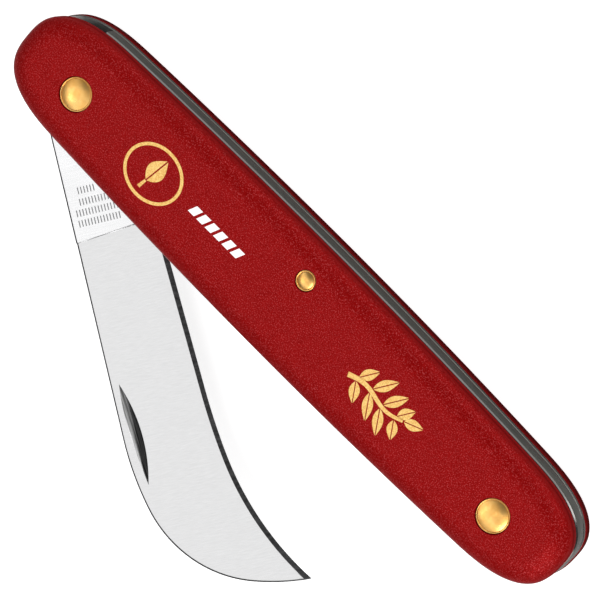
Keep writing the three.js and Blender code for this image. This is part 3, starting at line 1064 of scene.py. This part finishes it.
blade_piece()


# -------------------- printed and etched marks

INK = 0.012 * MM
INK_SUNK = 0.01 * MM
LEAF_POINT = 0.01 * MM
LEAF_FULLNESS = 0.85

BADGE_CENTRE = Vector((-23.9 * MM, -0.6 * MM))
BADGE_HALVES = (4.55 * MM, 3.85 * MM)
BADGE_STROKE = 0.45 * MM
BADGE_LEAN = math.radians(80)
BADGE_LEAF_ENDS = (1.3 * MM, 2.6 * MM)
BADGE_LEAF_SIZE = (2.7 * MM, 0.2 * MM)
BADGE_STEM = (2.7 * MM, 2.0 * MM, 1.4 * MM)
BADGE_STEM_SIZE = (0.5 * MM, 0.35 * MM)

BARS_CENTRE = Vector((-12.4 * MM, -0.1 * MM))
BAR_COUNT = 6
BAR_PITCH = 1.58 * MM
BAR_WIDTH = 1.12 * MM
BAR_LEAN = Vector((0.3 * MM, 0.66 * MM))

# Sprig: its leaves stand in pairs, each at a step of the stem and with a length.
SPRIG_START = Vector((13.0, -1.0)) * MM
SPRIG_END = Vector((22.4, -0.2)) * MM
SPRIG_BOW = 0.5 * MM
SPRIG_STEPS = 24
SPRIG_STEM_SIZE = (0.7 * MM, 0.45 * MM)
SPRIG_END_LEAF = (0.2 * MM, 2.9 * MM)
SPRIG_LEAVES = ((3, 3.3 * MM), (9, 4.1 * MM), (15, 4.0 * MM), (21, 3.0 * MM))
LEAF_SPREAD = math.radians(58)
LEAF_GAP = 0.45 * MM
LEAF_SIZE = (1.5 * MM, 0.14 * MM)

# Hatch, in millimetres along the blade: each row's place and where it begins and ends across it.
HATCH_ROWS = ((16.65, -5.7, 0.7), (15.25, -5.7, 0.4), (13.85, -4.9, -0.7), (12.3, -4.8, -2.1))
HATCH_PITCH = 0.46
HATCH_HALF = 0.46
HATCH_STROKE = 0.14 * MM


def marks_piece(name, ribbons, face_level, material):
    """Thin closed patches on a flat face. A ribbon is its left and right rows of 2-D points."""
    verts = []
    faces = []
    for lefts, rights, is_ring in ribbons:
        loops = []
        for left, right in zip(lefts, rights):
            row = [(left, -INK_SUNK), (right, -INK_SUNK), (right, INK), (left, INK)]
            loops.append([Vector((p.x, p.y, face_level + h)) for p, h in row])
        faces += skin(loops, len(verts), is_ring)
        verts += [point for loop in loops for point in loop]
    return mesh_piece(name, verts, faces, material)


def ring_ribbon(centre, half_length, half_height, stroke, steps=96):
    """An oval ring."""
    outer = []
    inner = []
    for i in range(steps):
        turn = 2 * math.pi * i / steps
        way = Vector((math.cos(turn), math.sin(turn)))
        outer.append(centre + Vector((way.x * half_length, way.y * half_height)))
        inner.append(centre + Vector((way.x * (half_length - stroke), way.y * (half_height - stroke))))
    return outer, inner, True


def stem_ribbon(points, wide, narrow):
    """A stroke along points that narrows from its start to its end."""
    lefts = []
    rights = []
    for i, point in enumerate(points):
        ahead = points[min(i + 1, len(points) - 1)] - points[max(i - 1, 0)]
        side = Vector((-ahead.y, ahead.x)).normalized()
        half = (wide + (narrow - wide) * i / (len(points) - 1)) / 2
        lefts.append(point + side * half)
        rights.append(point - side * half)
    return lefts, rights, False


def leaf_ribbons(base, tip, width, vein, steps=12):
    """A leaf as two halves, each bulging away from a straight vein between them."""
    spine = tip - base
    side = Vector((-spine.y, spine.x)).normalized()
    ribbons = []
    for sign in (1, -1):
        inner = []
        outer = []
        for i in range(steps + 1):
            part = i / steps
            bulge = math.sin(math.pi * part ** LEAF_FULLNESS) * (width - vein) / 2
            middle = base + spine * part + side * (sign * vein / 2)
            inner.append(middle)
            outer.append(middle + side * (sign * max(bulge, LEAF_POINT)))
        ribbons.append((inner, outer, False))
    return ribbons


def badge():
    """An oval badge with one leaf in it."""
    centre = BADGE_CENTRE
    way = Vector((math.cos(BADGE_LEAN), math.sin(BADGE_LEAN)))
    ribbons = [ring_ribbon(centre, *BADGE_HALVES, BADGE_STROKE)]
    below, above = BADGE_LEAF_ENDS
    ribbons += leaf_ribbons(centre - way * below, centre + way * above, *BADGE_LEAF_SIZE)
    stem = [centre - way * distance for distance in BADGE_STEM]
    ribbons.append(stem_ribbon(stem, *BADGE_STEM_SIZE))
    return ribbons


def bars():
    """A row of slanted bars."""
    ribbons = []
    for i in range(BAR_COUNT):
        middle = BARS_CENTRE + Vector((BAR_PITCH * (i - (BAR_COUNT - 1) / 2), 0))
        left = middle - Vector((BAR_WIDTH / 2, 0))
        right = middle + Vector((BAR_WIDTH / 2, 0))
        ribbons.append(([left - BAR_LEAN, left + BAR_LEAN], [right - BAR_LEAN, right + BAR_LEAN], False))
    return ribbons


def sprig():
    """A leafy twig: a curved stem with leaves in pairs and one at its end."""
    stem = []
    for i in range(SPRIG_STEPS + 1):
        part = i / SPRIG_STEPS
        bow = Vector((0, SPRIG_BOW * math.sin(2 * math.pi * part)))
        stem.append(SPRIG_START.lerp(SPRIG_END, part) + bow)
    ribbons = [stem_ribbon(stem, *SPRIG_STEM_SIZE)]
    for place, length in SPRIG_LEAVES:
        for spread_angle in (LEAF_SPREAD, -LEAF_SPREAD):
            way = Vector((math.cos(spread_angle), math.sin(spread_angle)))
            base = stem[place] + way * LEAF_GAP
            ribbons += leaf_ribbons(base, base + way * (length - LEAF_GAP), *LEAF_SIZE)
    way = (stem[-1] - stem[-3]).normalized()
    near, far = SPRIG_END_LEAF
    ribbons += leaf_ribbons(stem[-1] + way * near, stem[-1] + way * far, *LEAF_SIZE)
    return ribbons


def hatch():
    """Rows of plain strokes etched across the unground part of the blade."""
    ribbons = []
    for x, low, high in HATCH_ROWS:
        y = low
        while y < high:
            first = Vector(((x - HATCH_HALF) * MM, y * MM))
            last = Vector(((x + HATCH_HALF) * MM, y * MM))
            ribbons.append(stem_ribbon([first, last], HATCH_STROKE, HATCH_STROKE))
            y += HATCH_PITCH
    return ribbons


def add_marks():
    """The three prints on the front scale and the hatch on the blade."""
    for name, ribbons, material in (("badge_print", badge(), GOLD_PRINT),
                                    ("bars_print", bars(), WHITE_PRINT),
                                    ("sprig_print", sprig(), GOLD_PRINT)):
        piece = marks_piece(name, ribbons, TOP - FACE_DROP, material)
        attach(piece, "handle")
    etching = marks_piece("blade_hatch", hatch(), BLADE_HALF, ETCHED_STEEL)
    etching.data.transform(BLADE_PLACE)
    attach(etching, "blade")


add_marks()


# -------------------- CAD pins, mostly hidden

def dress_pins():
    """Gives the three rivet pins of the CAD model the brass of their caps."""
    for rivet in RIVETS:
        pin = frame["nodes"][f"{rivet}_pin"]
        pin.data.materials.clear()
        pin.data.materials.append(BRASS)


dress_pins()


# -------------------- floor, light, camera

FLOOR_REACH = 1.2
FLOOR_SIDES = 12

WORLD_STRENGTH = 0.16
SOFTBOX_DISTANCE = 0.8

# Each softbox: its direction from the knife, its width and height, and the brightness of its face.
SOFTBOXES = {
    "key": ((-0.13, -0.40, 0.90), 0.68, 0.66, 1.1),
    "glint": ((-0.36, -0.50, 0.79), 0.13, 0.13, 4.0),
    "butt_side": ((0.54, -0.32, 0.78), 0.26, 0.28, 9.5),
    "butt_low": ((0.84, -0.45, 0.38), 0.66, 0.2, 3.0),
    "corner": ((0.42, 0.73, 0.54), 0.2, 0.26, 5.0),
    "spring_side": ((-0.20, 0.85, 0.53), 0.9, 0.44, 1.15),
    "spring_low": ((-0.05, 0.97, 0.2), 0.9, 0.16, 2.0),
    "pivot_side": ((-0.58, -0.15, 0.80), 0.4, 0.26, 1.4),
}

CAMERA_TARGET = Vector((0.705 * MM, -0.499 * MM, MID))
CAMERA_LEAN_X = math.radians(10.796)
CAMERA_LEAN_Y = math.radians(18.671)
CAMERA_ROLL = math.radians(45.184)
CAMERA_DISTANCE = 0.5
CAMERA_NEAR = 0.01
LENS_LENGTH = 229.14
SENSOR_WIDTH = 36


def floor():
    """A white disc under the knife."""
    verts = [(0.0, 0.0, 0.0)]
    for i in range(FLOOR_SIDES):
        turn = 2 * math.pi * i / FLOOR_SIDES
        verts.append((FLOOR_REACH * math.cos(turn), FLOOR_REACH * math.sin(turn), 0.0))
    faces = [(0, 1 + i, 1 + (i + 1) % FLOOR_SIDES) for i in range(FLOOR_SIDES)]
    mesh = bpy.data.meshes.new("floor")
    mesh.from_pydata(verts, [], faces)
    piece = bpy.data.objects.new("floor", mesh)
    bpy.context.scene.collection.objects.link(piece)
    mesh.materials.append(floor_material())


def softbox(name, direction, width, height, radiance):
    """A rectangular light aimed at the knife, with the given brightness of its face."""
    light = bpy.data.lights.new(name, "AREA")
    light.shape = "RECTANGLE"
    light.size = width
    light.size_y = height
    light.energy = radiance * math.pi * width * height
    holder = bpy.data.objects.new(name, light)
    bpy.context.scene.collection.objects.link(holder)
    away = Vector(direction).normalized()
    holder.location = away * SOFTBOX_DISTANCE
    holder.rotation_euler = away.to_track_quat("Z", "Y").to_euler()


def studio():
    """A dim white world and the softboxes."""
    world = bpy.data.worlds.new("studio")
    bpy.context.scene.world = world
    world.use_nodes = True
    background = world.node_tree.nodes["Background"]
    background.inputs["Color"].default_value = (1, 1, 1, 1)
    background.inputs["Strength"].default_value = WORLD_STRENGTH
    for name, (direction, width, height, radiance) in SOFTBOXES.items():
        softbox(name, direction, width, height, radiance)


def camera():
    """Looks from over the spring side, 21 degrees off straight down, with the handle corner to corner."""
    away = Vector((math.tan(CAMERA_LEAN_X), math.tan(CAMERA_LEAN_Y), 1)).normalized()
    forward = -away
    side = Vector((1, 0, 0))
    side = (side - forward * side.dot(forward)).normalized()
    across = forward.cross(side)
    right = side * math.cos(CAMERA_ROLL) - across * math.sin(CAMERA_ROLL)
    up = -(side * math.sin(CAMERA_ROLL) + across * math.cos(CAMERA_ROLL))
    lens = bpy.data.cameras.new("camera")
    lens.lens = LENS_LENGTH
    lens.sensor_width = SENSOR_WIDTH
    lens.clip_start = CAMERA_NEAR
    holder = bpy.data.objects.new("camera", lens)
    bpy.context.scene.collection.objects.link(holder)
    turn = Matrix((right, up, -forward)).transposed().to_4x4()
    holder.matrix_world = Matrix.Translation(CAMERA_TARGET + away * CAMERA_DISTANCE) @ turn
    bpy.context.scene.camera = holder


floor()
studio()
camera()
bpy.context.scene.view_settings.view_transform = "Standard"
